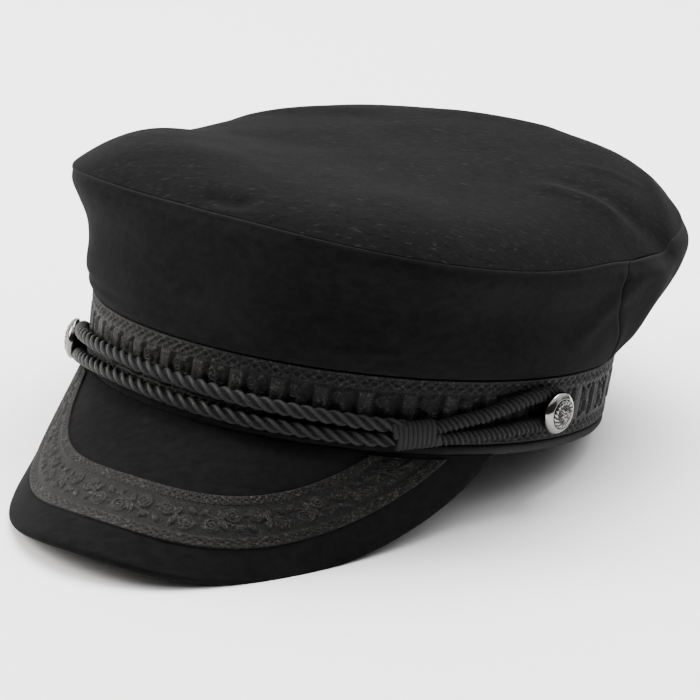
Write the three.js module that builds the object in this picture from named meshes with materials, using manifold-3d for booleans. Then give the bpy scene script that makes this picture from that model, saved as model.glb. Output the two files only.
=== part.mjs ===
// A black wool cap with a stiff peak, a woven braid round the band and along the peak, and a
// twisted cord that runs over the front from one metal button to the other.
// Millimetres. In the cap's own frame +X is the wearer's left, -Y the front and +Z up, and the
// origin is the middle of the band's lower edge. The last section stands the cap on a table.

import * as THREE from 'three';
import { mergeVertices } from 'three/addons/utils/BufferGeometryUtils.js';
import Module from 'manifold-3d';

const wasm = await Module();
wasm.setup();

const rad = THREE.MathUtils.degToRad;
const lerp = THREE.MathUtils.lerp;
const smooth = THREE.MathUtils.smoothstep;

// Gap between pieces that touch
const GAP = 0.3;

// Head band: an oval, half as wide and half as long as these, at the face of its braid
const BAND_HALF_WIDTH = 88;
const BAND_HALF_LENGTH = 100.2;
const BAND_HEIGHT = 25.3;
const BAND_FLARE = 0.9;
const BAND_WALL = 2.4;
const BAND_STEPS = 64;

// The band's lower edge is a roll of wool, and the braid starts just above it
const RIM_HEIGHT = 2.6;
const RIM_PROUD = 0.1;
const RIM_ROUND = 0.6;
const BRAID_THICK = 1.3;
const BRAID_BOTTOM = 2.9;
const BRAID_BEVEL = 0.4;

// Crown: its top seam is a rounder and larger oval that rises at the front and the back
const CLOTH = 2;
const CROWN_HALF_WIDTH = 95.5;
const CROWN_HALF_LENGTH = 105.4;
const CROWN_BACK_SHIFT = 4.3;
const CROWN_SQUARENESS = 2.7;
const SEAM_HEIGHT = 71.8;
const SEAM_BACK_RISE = 8.4;
const SEAM_END_RISE = 5.6;
const PILLOW_HEIGHT = 10.3;
const PILLOW_POWER = 8;
const TOP_STEPS = 64;
const TOP_RINGS = [0, 0.25, 0.45, 0.63, 0.78, 0.88, 0.95, 1];

// How far the side wall stands out from the straight line between band and seam
const WALL_SWELL = [
  { rise: 0.0, front: 0.0, back: 0.0 },
  { rise: 0.06, front: 1.4, back: 1.4 },
  { rise: 0.14, front: 1.6, back: 2.6 },
  { rise: 0.27, front: 0.6, back: 4.4 },
  { rise: 0.42, front: -1.0, back: 6.0 },
  { rise: 0.58, front: -1.4, back: 7.4 },
  { rise: 0.74, front: 0.2, back: 7.6 },
  { rise: 0.88, front: 1.4, back: 6.0 },
  { rise: 1.0, front: 0.0, back: 0.0 },
];

// The seams that join the front and the back of the side wall, as angles from the front
const SIDE_SEAM_LOW = 107;
const SIDE_SEAM_HIGH = 94;
const SIDE_SEAM_GAP = 0.2;
const FRONT_STEPS = 46;
const BACK_STEPS = 30;

// Soft folds of the top panel: a ridge from one end to the other, with its height and half width
const TOP_FOLDS = [
  { from: [-72, -42], to: [-46, -68], height: 3.7, half: 24 },
  { from: [46, 22], to: [95, 23], height: 2.2, half: 5 },
  { from: [58, 32], to: [88, 30], height: -2, half: 6 },
  { from: [97, 48], to: [72, 88], height: -6, half: 18 },
  { from: [-4, -92], to: [6, -90], height: -1.6, half: 6 },
];

// Peak: a board that leaves the band's lower edge and falls more steeply at its sides
const PEAK_SLOPE = rad(33);
const PEAK_SIDE_SLOPE = rad(31.3);
const PEAK_TAPER = -0.05;
const PEAK_THICK = 3;
const PEAK_TOP = -0.3;
const PEAK_EDGE = { halfWidth: 82, length: 65.8, across: 3.4, along: 1.6, start: 1.5 };
const PEAK_STEPS = 50;
const PEAK_ROWS = [0, 0.15, 0.35, 0.6, 0.82, 1];

// Braid strip on the peak, between two curves of the same form
const STRIP_OUTER = { halfWidth: 74.5, length: 52.4, across: 3.6, along: 1.25, start: 2 };
const STRIP_INNER = { halfWidth: 58, length: 30.5, across: 3.6, along: 1.25, start: 2 };
const STRIP_ROWS = [0, 0.34, 0.67, 1];
const STRIP_THICK = 0.8;
const STRIP_STEPS = 42;

// Buttons, as an angle from the front and a height on the band
const BUTTON_LEFT = { angle: 79.6, height: 14.6 };
const BUTTON_RIGHT = { angle: -57, height: 5.4 };
const BUTTON_RADIUS = 7.2;
const BUTTON_SHANK = 1.9;
const BUTTON_STANDOFF = 5.5;
const BUTTON_EDGE = 1.2;
const BUTTON_BEVEL = 0.65;
const BUTTON_DOME = 3.3;
const BUTTON_SIDES = 24;

// Cord: angle from the front, height and distance of its middle from the braid's face
const CORD_RADIUS = 2.3;
const CORD_SIDES = 8;
const CORD_LONG = [
  { angle: 43.2, height: 8.0, out: 3.8 },
  { angle: 39, height: 8.2, out: 3.1 },
  { angle: 34, height: 9.0, out: 2.8 },
  { angle: 25, height: 10.2, out: 2.75 },
  { angle: 15, height: 11.1, out: 2.75 },
  { angle: 4, height: 11.9, out: 2.75 },
  { angle: -8, height: 12.5, out: 2.75 },
  { angle: -20, height: 13.0, out: 2.75 },
  { angle: -31, height: 13.0, out: 2.75 },
  { angle: -41, height: 12.2, out: 2.75 },
  { angle: -50, height: 10.9, out: 2.85 },
  { angle: -56, height: 10.0, out: 3.0 },
  { angle: -59, height: 8.7, out: 3.0 },
  { angle: -60, height: 5.4, out: 3.0 },
  { angle: -59, height: 2.2, out: 3.0 },
  { angle: -56, height: 0.9, out: 3.0 },
  { angle: -50, height: 2.0, out: 2.85 },
  { angle: -41, height: 4.1, out: 2.75 },
  { angle: -31, height: 5.4, out: 2.75 },
  { angle: -20, height: 5.9, out: 2.75 },
  { angle: -8, height: 5.5, out: 2.75 },
  { angle: 4, height: 5.0, out: 2.75 },
  { angle: 15, height: 4.5, out: 2.75 },
  { angle: 25, height: 4.2, out: 2.75 },
  { angle: 34, height: 3.8, out: 2.75 },
  { angle: 39, height: 3.4, out: 2.75 },
  { angle: 43.2, height: 3.2, out: 2.8 },
];
const CORD_SHORT = [
  { angle: 53.9, height: 9.9, out: 3.2 },
  { angle: 58, height: 11.9, out: 2.8 },
  { angle: 63, height: 14.0, out: 2.75 },
  { angle: 68, height: 16.6, out: 2.8 },
  { angle: 73, height: 19.1, out: 2.9 },
  { angle: 77.5, height: 20.3, out: 3.0 },
  { angle: 80.6, height: 20.0, out: 3.0 },
  { angle: 82.9, height: 18.0, out: 3.0 },
  { angle: 83.6, height: 14.8, out: 3.0 },
  { angle: 82.8, height: 11.7, out: 3.0 },
  { angle: 80.4, height: 9.8, out: 3.0 },
  { angle: 77, height: 9.2, out: 2.9 },
  { angle: 73, height: 8.6, out: 2.8 },
  { angle: 68, height: 7.4, out: 2.75 },
  { angle: 63, height: 6.3, out: 2.75 },
  { angle: 58, height: 5.5, out: 2.75 },
  { angle: 53.9, height: 5.1, out: 2.9 },
];
const CORD_STEPS_LONG = 66;
const CORD_STEPS_SHORT = 28;

// Slide knot: a barrel of wound turns that holds both strands
const KNOT = { angle: 48.5, height: 6.6, out: 4.2, length: 16, tall: 4.2, deep: 3.8, rise: 9 };
const KNOT_TURNS = 9;
const KNOT_GROOVE = 0.35;
const KNOT_SIDES = 14;

// On a table the peak's two corners and the back of the band carry the cap, and the wool that
// meets the table is pressed flat by this much
const REST_TILT = rad(10.4);
const PRESSED = 0.9;
const ORIGIN_BACK = 16.4;

// The oval of the band's face, moved outwards by a distance
function onBand(angle, height, out) {
  const a = rad(angle);
  const [across, along] = [Math.sin(a) / BAND_HALF_WIDTH, -Math.cos(a) / BAND_HALF_LENGTH];
  const normal = new THREE.Vector2(across, along).normalize();
  const reach = out + (BAND_FLARE * height) / BAND_HEIGHT;
  return new THREE.Vector3(
    BAND_HALF_WIDTH * Math.sin(a) + reach * normal.x,
    -BAND_HALF_LENGTH * Math.cos(a) + reach * normal.y,
    height,
  );
}

// Sections of outer and inner points become one closed body, all round or with two flat ends
function wallBody(sections, allRound) {
  const rows = sections.map(({ outer, inner }) => [...outer, ...[...inner].reverse()]);
  const count = rows[0].length;
  const half = count / 2;
  const positions = rows.flat().flatMap((p) => [p.x, p.y, p.z]);
  const faces = [];
  const quad = (a, b, c, d) => faces.push(a, b, c, a, c, d);
  const last = allRound ? rows.length : rows.length - 1;
  for (let i = 0; i < last; i += 1) {
    const here = i * count;
    const next = ((i + 1) % rows.length) * count;
    for (let j = 0; j < count; j += 1) {
      const k = (j + 1) % count;
      quad(here + j, next + j, next + k, here + k);
    }
  }
  if (!allRound) {
    const end = (rows.length - 1) * count;
    for (let j = 0; j < half - 1; j += 1) {
      const mirror = count - 1 - j;
      quad(j, j + 1, mirror - 1, mirror);
      quad(end + j, end + mirror, end + mirror - 1, end + j + 1);
    }
  }
  const geometry = new THREE.BufferGeometry();
  geometry.setAttribute('position', new THREE.Float32BufferAttribute(positions, 3));
  geometry.setIndex(faces);
  return facingOut(welded(geometry));
}

// Shared vertices are merged and triangles that closed up on themselves are dropped
function welded(geometry) {
  geometry.deleteAttribute('normal');
  geometry.deleteAttribute('uv');
  const merged = mergeVertices(geometry, 1e-4);
  const index = merged.getIndex().array;
  const kept = [];
  for (let i = 0; i < index.length; i += 3) {
    const [a, b, c] = [index[i], index[i + 1], index[i + 2]];
    if (a !== b && b !== c && a !== c) kept.push(a, b, c);
  }
  merged.setIndex(kept);
  return merged;
}

// Turns every face round when the body's volume comes out negative
function facingOut(geometry) {
  const at = geometry.getAttribute('position');
  const index = Array.from(geometry.getIndex().array);
  const [p, q, r] = [new THREE.Vector3(), new THREE.Vector3(), new THREE.Vector3()];
  let volume = 0;
  for (let i = 0; i < index.length; i += 3) {
    p.fromBufferAttribute(at, index[i]);
    q.fromBufferAttribute(at, index[i + 1]);
    r.fromBufferAttribute(at, index[i + 2]);
    volume += p.dot(q.cross(r));
  }
  if (volume < 0) {
    for (let i = 0; i < index.length; i += 3) [index[i], index[i + 1]] = [index[i + 1], index[i]];
    geometry.setIndex(index);
  }
  return geometry;
}

// Rows of a table of sections, read at any place between them
function tableAt(table, key, column, place) {
  const next = Math.max(1, table.findIndex((row) => row[key] >= place));
  const [a, b] = [table[next - 1], table[next]];
  return lerp(a[column], b[column], (place - a[key]) / (b[key] - a[key]));
}

const turn = (steps) => Array.from({ length: steps }, (_, i) => (360 * i) / steps);
const span = (from, to, steps) => Array.from({ length: steps + 1 }, (_, i) => lerp(from, to, i / steps));

// The wool band: its lower edge is rolled outwards under the braid
function headBand() {
  const face = -BRAID_THICK - GAP;
  const back = face - BAND_WALL;
  const sections = turn(BAND_STEPS).map((angle) => ({
    outer: [
      onBand(angle, 0, RIM_PROUD - RIM_ROUND),
      onBand(angle, RIM_ROUND, RIM_PROUD),
      onBand(angle, RIM_HEIGHT - RIM_ROUND, RIM_PROUD),
      onBand(angle, RIM_HEIGHT, face),
      onBand(angle, BAND_HEIGHT, face),
    ],
    inner: [
      onBand(angle, 0, back + RIM_ROUND),
      onBand(angle, RIM_ROUND, back),
      onBand(angle, RIM_HEIGHT - RIM_ROUND, back),
      onBand(angle, RIM_HEIGHT, back),
      onBand(angle, BAND_HEIGHT, back),
    ],
  }));
  return wallBody(sections, true);
}

// The woven braid round the band
function bandBraid() {
  const top = BAND_HEIGHT - GAP;
  const heights = [BRAID_BOTTOM, BRAID_BOTTOM + BRAID_BEVEL, top - BRAID_BEVEL, top];
  const faces = [-BRAID_BEVEL, 0, 0, -BRAID_BEVEL];
  const sections = turn(BAND_STEPS).map((angle) => ({
    outer: heights.map((height, i) => onBand(angle, height, faces[i])),
    inner: heights.map((height) => onBand(angle, height, -BRAID_THICK)),
  }));
  return wallBody(sections, true);
}

// The crown's oval in a direction from the front, as a distance from its own middle
function crownReach(angle) {
  const a = rad(angle);
  const across = Math.abs(Math.sin(a)) / CROWN_HALF_WIDTH;
  const along = Math.abs(Math.cos(a)) / CROWN_HALF_LENGTH;
  return (across ** CROWN_SQUARENESS + along ** CROWN_SQUARENESS) ** (-1 / CROWN_SQUARENESS);
}

function foldHeight(x, y) {
  return TOP_FOLDS.reduce((sum, fold) => {
    const [x0, y0] = fold.from;
    const [dx, dy] = [fold.to[0] - x0, fold.to[1] - y0];
    const t = THREE.MathUtils.clamp(((x - x0) * dx + (y - y0) * dy) / (dx * dx + dy * dy), 0, 1);
    const away = Math.hypot(x - x0 - t * dx, y - y0 - t * dy);
    return sum + fold.height * Math.exp(-((away / fold.half) ** 2));
  }, 0);
}

// A point of the top panel's outer face, from 0 in the middle to 1 at the seam
function onTop(angle, share) {
  const a = rad(angle);
  const reach = share * crownReach(angle);
  const x = reach * Math.sin(a);
  const y = CROWN_BACK_SHIFT - reach * Math.cos(a);
  const plane = SEAM_HEIGHT - SEAM_BACK_RISE * share * Math.cos(a);
  const saddle = SEAM_END_RISE * share ** 2 * Math.cos(2 * a);
  const pillow = PILLOW_HEIGHT * (1 - share ** PILLOW_POWER);
  return new THREE.Vector3(x, y, plane + saddle + pillow + foldHeight(x, y));
}

function crownTop() {
  const down = new THREE.Vector3(0, 0, -CLOTH);
  const sections = turn(TOP_STEPS).map((angle) => ({
    outer: TOP_RINGS.map((share) => onTop(angle, share)),
    inner: TOP_RINGS.map((share) => onTop(angle, share).add(down)),
  }));
  return wallBody(sections, true);
}

// A point of the side wall, from 0 at the band to 1 just under the top panel
function onSide(angle, rise, inset) {
  const a = rad(angle);
  const away = new THREE.Vector2(Math.sin(a), -Math.cos(a));
  const low = 1 / Math.hypot(away.x / BAND_HALF_WIDTH, away.y / BAND_HALF_LENGTH) + BAND_FLARE;
  const seam = onTop(angle, 1);
  const lowZ = BAND_HEIGHT + GAP;
  const highZ = seam.z - CLOTH - GAP;
  const back = smooth(-Math.cos(a), -0.55, 0.75);
  const front = tableAt(WALL_SWELL, 'rise', 'front', rise);
  const rear = tableAt(WALL_SWELL, 'rise', 'back', rise);
  const swell = lerp(front, rear, back) - inset;
  return new THREE.Vector3(
    lerp(low * away.x, seam.x, rise) + swell * away.x,
    lerp(low * away.y, seam.y, rise) + swell * away.y,
    lerp(lowZ, highZ, rise),
  );
}

// The front part runs round the front from seam to seam, and the back part closes the ring
function crownSide(atFront, steps) {
  const rises = WALL_SWELL.map((row) => row.rise);
  const sections = span(0, 1, steps).map((share) => {
    const place = (rise) => {
      const seam = lerp(SIDE_SEAM_LOW, SIDE_SEAM_HIGH, rise);
      const start = seam + SIDE_SEAM_GAP;
      return atFront ? lerp(-seam, seam, share) : lerp(start, 360 - start, share);
    };
    return {
      outer: rises.map((rise) => onSide(place(rise), rise, 0)),
      inner: rises.map((rise) => onSide(place(rise), rise, CLOTH)),
    };
  });
  return wallBody(sections, false);
}

// The peak's upper face: how far across, and how far down the slope from the band
function onPeak(x, down) {
  const side = x / BAND_HALF_WIDTH;
  const slope = PEAK_SLOPE + PEAK_SIDE_SLOPE * side ** 2;
  return new THREE.Vector3(
    x + PEAK_TAPER * side * down,
    -BAND_HALF_LENGTH * Math.sqrt(1 - side ** 2) - down * Math.cos(slope),
    PEAK_TOP - down * Math.sin(slope),
  );
}

function abovePeak(x, down, lift) {
  const step = 0.05;
  const alongX = onPeak(x + step, down).sub(onPeak(x - step, down));
  const alongDown = onPeak(x, down + step).sub(onPeak(x, down - step));
  const normal = alongDown.cross(alongX).normalize();
  return onPeak(x, down).addScaledVector(normal, lift);
}

// A peak outline, read from -1 at one end to 1 at the other
function peakEdge(edge, place) {
  const ends = Math.asin((1 - (edge.start / edge.length) ** edge.along) ** (1 / edge.across));
  const s = Math.sin(place * ends);
  return {
    x: edge.halfWidth * s,
    down: edge.length * (1 - Math.abs(s) ** edge.across) ** (1 / edge.along),
  };
}

function peak() {
  const sections = span(-1, 1, PEAK_STEPS).map((place) => {
    const edge = peakEdge(PEAK_EDGE, place);
    const outer = PEAK_ROWS.map((row) => onPeak(edge.x, edge.down * row));
    const inner = PEAK_ROWS.map((row) => {
      const point = abovePeak(edge.x, edge.down * row, -PEAK_THICK);
      point.z = Math.min(point.z, PEAK_TOP);
      return point;
    });
    return { outer, inner };
  });
  return wallBody(sections, false);
}

function peakBraid() {
  const sections = span(-1, 1, STRIP_STEPS).map((place) => {
    const [near, far] = [peakEdge(STRIP_INNER, place), peakEdge(STRIP_OUTER, place)];
    const chain = (lift) => STRIP_ROWS.map((share) => (
      abovePeak(lerp(near.x, far.x, share), lerp(near.down, far.down, share), lift)));
    return { outer: chain(GAP + STRIP_THICK), inner: chain(GAP) };
  });
  return wallBody(sections, false);
}

// A domed button on a shank, standing on the braid's face
function button(at) {
  const profile = [
    [0, GAP],
    [BUTTON_SHANK, GAP],
    [BUTTON_SHANK, BUTTON_STANDOFF],
    [BUTTON_RADIUS - BUTTON_BEVEL, BUTTON_STANDOFF],
    [BUTTON_RADIUS, BUTTON_STANDOFF + BUTTON_BEVEL],
    [BUTTON_RADIUS, BUTTON_STANDOFF + BUTTON_EDGE],
    ...[20, 40, 60, 78].map((lift) => [
      BUTTON_RADIUS * Math.cos(rad(lift)),
      BUTTON_STANDOFF + BUTTON_EDGE + BUTTON_DOME * Math.sin(rad(lift)),
    ]),
    [0, BUTTON_STANDOFF + BUTTON_EDGE + BUTTON_DOME],
  ].map(([radius, height]) => new THREE.Vector2(radius, height));
  const geometry = facingOut(welded(new THREE.LatheGeometry(profile, BUTTON_SIDES)));
  const foot = onBand(at.angle, at.height, 0);
  const axis = onBand(at.angle, at.height, 1).sub(foot);
  const turned = new THREE.Quaternion().setFromUnitVectors(new THREE.Vector3(0, 1, 0), axis.normalize());
  return geometry.applyQuaternion(turned).translate(foot.x, foot.y, foot.z);
}

// A plain round tube along a route on the band
function cord(route, steps) {
  const points = route.map((p) => onBand(p.angle, p.height, p.out));
  const path = new THREE.CatmullRomCurve3(points, false, 'centripetal');
  const section = new THREE.Shape(turn(CORD_SIDES).map((angle) => (
    new THREE.Vector2(CORD_RADIUS * Math.cos(rad(angle)), CORD_RADIUS * Math.sin(rad(angle))))));
  return facingOut(welded(new THREE.ExtrudeGeometry(section, { steps, extrudePath: path })));
}

function slideKnot() {
  const middle = onBand(KNOT.angle, KNOT.height, KNOT.out);
  const out = onBand(KNOT.angle, KNOT.height, KNOT.out + 1).sub(middle).normalize();
  const level = new THREE.Vector3(0, 0, 1).cross(out).normalize();
  const along = level.clone().applyAxisAngle(out, rad(KNOT.rise));
  const up = out.clone().cross(along).normalize();
  const rings = [];
  for (let i = 0; i <= 2 * KNOT_TURNS; i += 1) {
    const place = i / (2 * KNOT_TURNS) - 0.5;
    const groove = i % 2 === 0 ? KNOT_GROOVE : 0;
    const end = i === 0 || i === 2 * KNOT_TURNS ? KNOT_GROOVE : 0;
    rings.push({
      along: place * KNOT.length,
      tall: KNOT.tall - groove - end,
      deep: KNOT.deep - groove - end,
    });
  }
  const point = (ring, angle) => {
    const a = rad(angle);
    return middle.clone()
      .addScaledVector(along, ring.along)
      .addScaledVector(up, ring.tall * Math.sin(a))
      .addScaledVector(out, ring.deep * Math.cos(a));
  };
  const core = (ring) => middle.clone().addScaledVector(along, ring.along);
  const sections = turn(KNOT_SIDES).map((angle) => ({
    outer: [core(rings[0]), ...rings.map((ring) => point(ring, angle)), core(rings[rings.length - 1])],
    inner: [core(rings[0]), ...rings.map(() => core(rings[0])), core(rings[rings.length - 1])],
  }));
  return wallBody(sections, true);
}

// What lies below the table is taken off a piece, as its wool is pressed flat there
function pressedFlat(geometry, floor) {
  const solid = (shape) => new wasm.Manifold(new wasm.Mesh({
    numProp: 3,
    vertProperties: new Float32Array(shape.getAttribute('position').array),
    triVerts: new Uint32Array(shape.getIndex().array),
  }));
  const size = 600;
  const below = new THREE.BoxGeometry(size, size, size);
  const tilted = new THREE.Group();
  tilted.rotation.x = REST_TILT;
  tilted.updateMatrixWorld();
  below.translate(0, 0, floor - size / 2).applyMatrix4(tilted.matrixWorld);
  const cut = solid(geometry).subtract(solid(welded(below))).getMesh();
  const result = new THREE.BufferGeometry();
  result.setAttribute('position', new THREE.Float32BufferAttribute(cut.vertProperties, 3));
  result.setIndex(Array.from(cut.triVerts));
  return result;
}

// The lowest point of a piece once the cap leans back
function lowest(geometry) {
  const at = geometry.getAttribute('position');
  const p = new THREE.Vector3();
  let z = Infinity;
  for (let i = 0; i < at.count; i += 1) {
    p.fromBufferAttribute(at, i).applyAxisAngle(new THREE.Vector3(1, 0, 0), -REST_TILT);
    z = Math.min(z, p.z);
  }
  return z;
}

const wool = { color: 0x1b1b1d, roughness: 0.95, metalness: 0 };
const topWool = { color: 0x222224, roughness: 0.95, metalness: 0 };
const braid = { color: 0x26241f, roughness: 0.7, metalness: 0 };
const silk = { color: 0x1a1a1b, roughness: 0.45, metalness: 0 };
const silver = { color: 0xc9c9cb, roughness: 0.18, metalness: 1 };

const cap = new THREE.Group();

function add(name, geometry, finish) {
  const mesh = new THREE.Mesh(geometry, new THREE.MeshStandardMaterial(finish));
  mesh.name = name;
  cap.add(mesh);
}

const band = headBand();
const board = peak();
const floor = Math.max(lowest(band), lowest(board)) + PRESSED;

add('head_band', pressedFlat(band, floor), wool);
add('band_braid', bandBraid(), braid);
add('crown_side_front', crownSide(true, FRONT_STEPS), wool);
add('crown_side_back', crownSide(false, BACK_STEPS), wool);
add('crown_top', crownTop(), topWool);
add('peak', pressedFlat(board, floor), wool);
add('peak_braid', peakBraid(), braid);
add('cord_long', cord(CORD_LONG, CORD_STEPS_LONG), silk);
add('cord_short', cord(CORD_SHORT, CORD_STEPS_SHORT), silk);
add('slide_knot', slideKnot(), silk);
add('button_left', button(BUTTON_LEFT), silver);
add('button_right', button(BUTTON_RIGHT), silver);

// The cap leans back until it stands, with the table at z = 0 and the origin under its middle
cap.rotation.x = -REST_TILT;
cap.position.set(0, ORIGIN_BACK, -floor);

const model = new THREE.Group();
model.add(cap);
model.updateMatrixWorld(true);

export default model;
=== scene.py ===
import math

import bmesh
import bpy
from mathutils import Matrix, Vector, noise


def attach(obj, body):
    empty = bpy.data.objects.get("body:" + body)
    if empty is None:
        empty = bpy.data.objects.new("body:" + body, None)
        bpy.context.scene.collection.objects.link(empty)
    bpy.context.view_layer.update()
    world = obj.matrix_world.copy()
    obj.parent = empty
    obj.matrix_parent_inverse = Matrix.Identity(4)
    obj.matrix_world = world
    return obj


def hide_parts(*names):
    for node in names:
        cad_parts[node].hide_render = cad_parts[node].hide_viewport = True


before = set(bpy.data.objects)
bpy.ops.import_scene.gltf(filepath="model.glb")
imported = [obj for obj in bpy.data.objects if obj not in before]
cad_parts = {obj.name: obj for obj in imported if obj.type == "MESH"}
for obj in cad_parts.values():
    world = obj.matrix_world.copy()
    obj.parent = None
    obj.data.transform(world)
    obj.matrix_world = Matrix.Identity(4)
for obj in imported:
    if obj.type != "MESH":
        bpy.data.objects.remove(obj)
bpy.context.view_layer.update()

MM = 0.001

# Points nearer than this become one, in metres
WELD = 2e-6

# Stance on the floor: how far the cap leans back, and where its own frame stands
TILT = math.radians(10.4)
STAND_AT = (0, 0.0164, 0.0171)
CAP = Matrix.Translation(STAND_AT) @ Matrix.Rotation(-TILT, 4, "X")

# Camera: where it looks, how far off and from where, its roll, lens and framing
LOOK_AT = Vector((0, 0.0164, 0.0170))
DISTANCE = 1.1
AZIMUTH = math.radians(32.23)
ELEVATION = math.radians(21.41)
ROLL = math.radians(2.79)
LENS = 159.7
SENSOR = 36
SHIFT = (0.0035, 0.0467)

# Direction in which the loose fibres of the wool lie
FIBRE_TURN = math.radians(30)

# Room: its brightness, the direction in which it is bright, and how it fades away from there
ROOM_LIGHT = 2.2
ROOM_BRIGHT_SIDE = (-0.30, 0.35, 0.887)
ROOM_FADE = [(0.30, 0.03), (0.60, 1.0)]
FLOOR_RADIUS = 6
LAMPS_FACE = Vector((0, 0, 0.05))

# Band: half sizes of its oval at the braid's face, its height and how far it flares
BAND_WIDTH = 88
BAND_LENGTH = 100.2
BAND_HEIGHT = 25.3
BAND_FLARE = 0.9
BAND_ROUND = 592
BRAID_LOW = 2.9
BRAID_HIGH = 25.0
BRAID_THICK = 1.3
BAND_WALL = 4.0
RIM_RADIUS = 1.8
RIM_DROP = 0.9
RIM_OUT = 0.35
# How much painted light from the floor the rim below the braid gets at its sides
RIM_PAINTED_LIGHT = 0.8

# Crown: half sizes of its top seam, and the form of the top panel
CLOTH = 1.8
CROWN_WIDTH = 95.5
CROWN_LENGTH = 105.4
CROWN_BACK = 4.3
CROWN_SQUARE = 2.7
SEAM_HEIGHT = 71.8
SEAM_BACK_RISE = 8.4
SEAM_END_RISE = 5.6
PILLOW = 10.3
PILLOW_POWER = 8
SIDE_SEAM_LOW = 107
SIDE_SEAM_HIGH = 94
SIDE_SEAM_BEND = 5.8
SEAM_DROP = 0.35

# Crown cloth: its way round, and the angle that each side panel takes of it
CROWN_ROUND = 620
FRONT_PANEL_TURN = 200
BACK_PANEL_TURN = 160

# The top panel rolls under past its seam, in inward and downward steps, in its last rows
TOP_ROLL = [(0.0, 0.0), (-0.15, 0.45), (0.1, 0.95), (0.9, 1.35), (2.2, 1.5), (4.0, 1.5)]
TOP_SHARE = 0.94

# Rolls and pinches of the side wall along its edges: height, distance from the edge, half width
HEM_PINCH = (-0.5, 0, 0.6)
HEM_DROOP = (0.8, 0.7, 0.7)
SEAM_PINCH = (-0.35, 0, 1.1)
SEAM_ROLL = (0.15, 2.6, 2.0)
TOP_WELT = (0.45, 0.5, 0.8)
# Not a shape: a painted highlight along the welt under the top seam, in the same columns
TOP_WELT_PAINTED_HIGHLIGHT = (0.2, 0.3, 0.5)

# Unevenness of soft cloth: how far across it runs, and how high it is
WALL_SOFT = [(34, 1.0), (12, 0.22)]
RIM_SOFT = (9, 0.3)
PEAK_SOFT = (24, 0.5)

# The same for the top panel, with a layer of the noise for each
TOP_SOFT = [(3.0, 38, 1.0), (9.0, 15, 0.2)]

# Pieces whose wall gets its thickness from a Solidify modifier
THIN_PIECES = ("crown_top_wool", "crown_front_wool", "crown_back_wool")

# How far the side wall stands out from a straight line between band and seam: rise, front, back
WALL_SWELL = [
    (0.0, 0.0, 0.0),
    (0.06, 1.4, 1.4),
    (0.14, 1.6, 2.6),
    (0.27, 0.6, 4.4),
    (0.42, -1.0, 6.0),
    (0.58, -1.4, 7.4),
    (0.74, 0.2, 7.6),
    (0.88, 1.4, 6.0),
    (1.0, 0.0, 0.0),
]

# Folds of the top panel: from, to, height and half width
TOP_FOLDS = [
    ((-72, -42), (-46, -68), 3.7, 24),
    ((58, 20), (79, 23), 1.1, 5.5),
    ((60, 33), (82, 33), -1.2, 7),
    ((98, 16), (95, 34), -2.2, 13),
    ((97, 48), (72, 88), -4.0, 18),
    ((-3, -96), (7, -95), -1.7, 3.6),
    ((51, 56), (66, 63), 0.4, 4),
    ((61, 88), (92, 49), 1.4, 5),
    ((-50, 60), (-82, 40), 1.0, 9),
    ((-20, 84), (10, 96), 0.8, 8),
]

# Folds of the side wall: angle and height of both ends, height of the fold and half width
WALL_FOLDS = [
    ((-62, 31), (8, 30), -0.9, 1.8),
    ((20, 31), (38, 33), 0.7, 1.6),
    ((84, 38), (100, 62), 0.9, 4),
    ((113, 34), (105, 60), 0.9, 4.0),
    ((120, 36), (113, 66), -0.6, 3.5),
    ((-84, 36), (-100, 60), 0.9, 4),
    ((150, 34), (172, 60), 0.8, 5),
    ((-140, 34), (-158, 58), 0.8, 5),
]

# Peak: its slope, how its sides turn down, and its outline. An outline is its half width, how
# far it comes down, its two powers, and how far down it starts.
PEAK_SLOPE = math.radians(33)
PEAK_SIDE_SLOPE = math.radians(31.3)
PEAK_TAPER = -0.05
PEAK_TOP = -0.3
PEAK_THICK = 3.0
PEAK_TUCK = 3.2
PEAK_EDGE = (82, 65.8, 3.4, 1.6, 1.5)
STRIP_OUTER = (74.5, 52.4, 3.6, 1.25, 2)
STRIP_INNER = (58, 30.5, 3.6, 1.25, 2)
STRIP_LONG = 232
STRIP_WIDE = 22
STRIP_LIFT = 0.3
STRIP_THICK = 0.8
STRIP_SUNK = -0.2
PEAK_ROWS = 44
PEAK_EDGE_ROWS = 10

# How far the braids' pattern stands out for a height of one, and where its ground lies
BAND_RELIEF = 1.25
BAND_GROUND = -0.45
PEAK_RELIEF = 1.2
PEAK_GROUND = 0.1

# Braid patterns: how often or how far along they repeat
BAND_REPEATS = 40
PEAK_REPEAT = 15.0

# Scrolls: place along and across, turns, pitch and hand
BAND_SCROLLS = [(9.0, 2.6, 1.6, 1.25, 1), (12.0, -2.4, 1.6, 1.25, -1)]
PEAK_SCROLLS = [(3.6, 2.2, 1.9, 1.3, 1), (-3.4, -2.0, 1.9, 1.3, -1)]

# Leaves: place along and across, length, width and angle
BAND_LEAVES = [
    (9.8, 0.8, 4.6, 1.0, -1.0),
    (11.6, -1.0, 4.8, 1.0, 2.2),
    (7.4, -5.4, 3.6, 0.8, 0.5),
    (13.8, 5.6, 3.6, 0.8, 3.6),
]
PEAK_LEAVES = [
    (0.4, 0.2, 5.0, 1.3, 1.9),
    (-0.6, 0.2, 5.0, 1.3, -1.1),
    (-6.8, 1.6, 4.2, 1.1, 0.9),
    (6.6, -1.4, 4.2, 1.1, 4.0),
]

# Cords: their radius, the length of one turn and a strand's radius, then how finely they are cut
CORD_RADIUS = 2.45
CORD_LONG_LAY = 13.8
CORD_LONG_STRAND = 0.8
CORD_SHORT_LAY = 6.2
CORD_SHORT_STRAND = 0.37
STEPS_A_LAY = 24
STRAND_SIDES = 14
CORE_SIDES = 16
CORE_INSET = 1.35

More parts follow.
